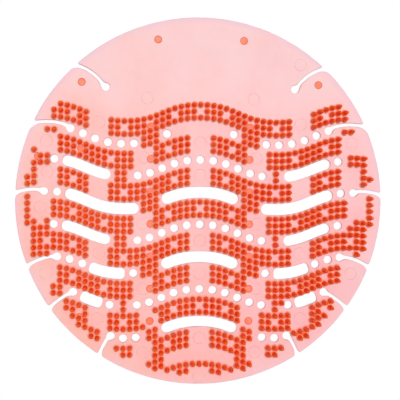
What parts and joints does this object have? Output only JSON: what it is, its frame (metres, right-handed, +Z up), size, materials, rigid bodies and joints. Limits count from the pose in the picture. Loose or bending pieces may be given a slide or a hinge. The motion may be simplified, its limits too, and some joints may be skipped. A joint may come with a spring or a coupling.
{
  "type": "urinal deodorizer screen",
  "caption": "Round one-piece urinal screen in soft EVA: plate with fields of anti-splash pins in wave rows, drain holes and slots, keyhole slits round the rim and short studs below.",
  "frame": {"origin": "centre of the round disc, on the plane of the stud feet on which it lies", "axes": "+Z up, out of the pinned face; +Y towards the bare zone at the top of the picture; X across, along the wave rows"},
  "size_m": [0.185, 0.185, 0.012],
  "materials": {
    "soft_eva": "scented soft EVA, translucent, tinted orange-red, satin moulded face; a thin plate of it shows pale pink and the pins show deep orange-red"
  },
  "bodies": {
    "root": {"screen": "soft_eva"}
  },
  "joints": []
}
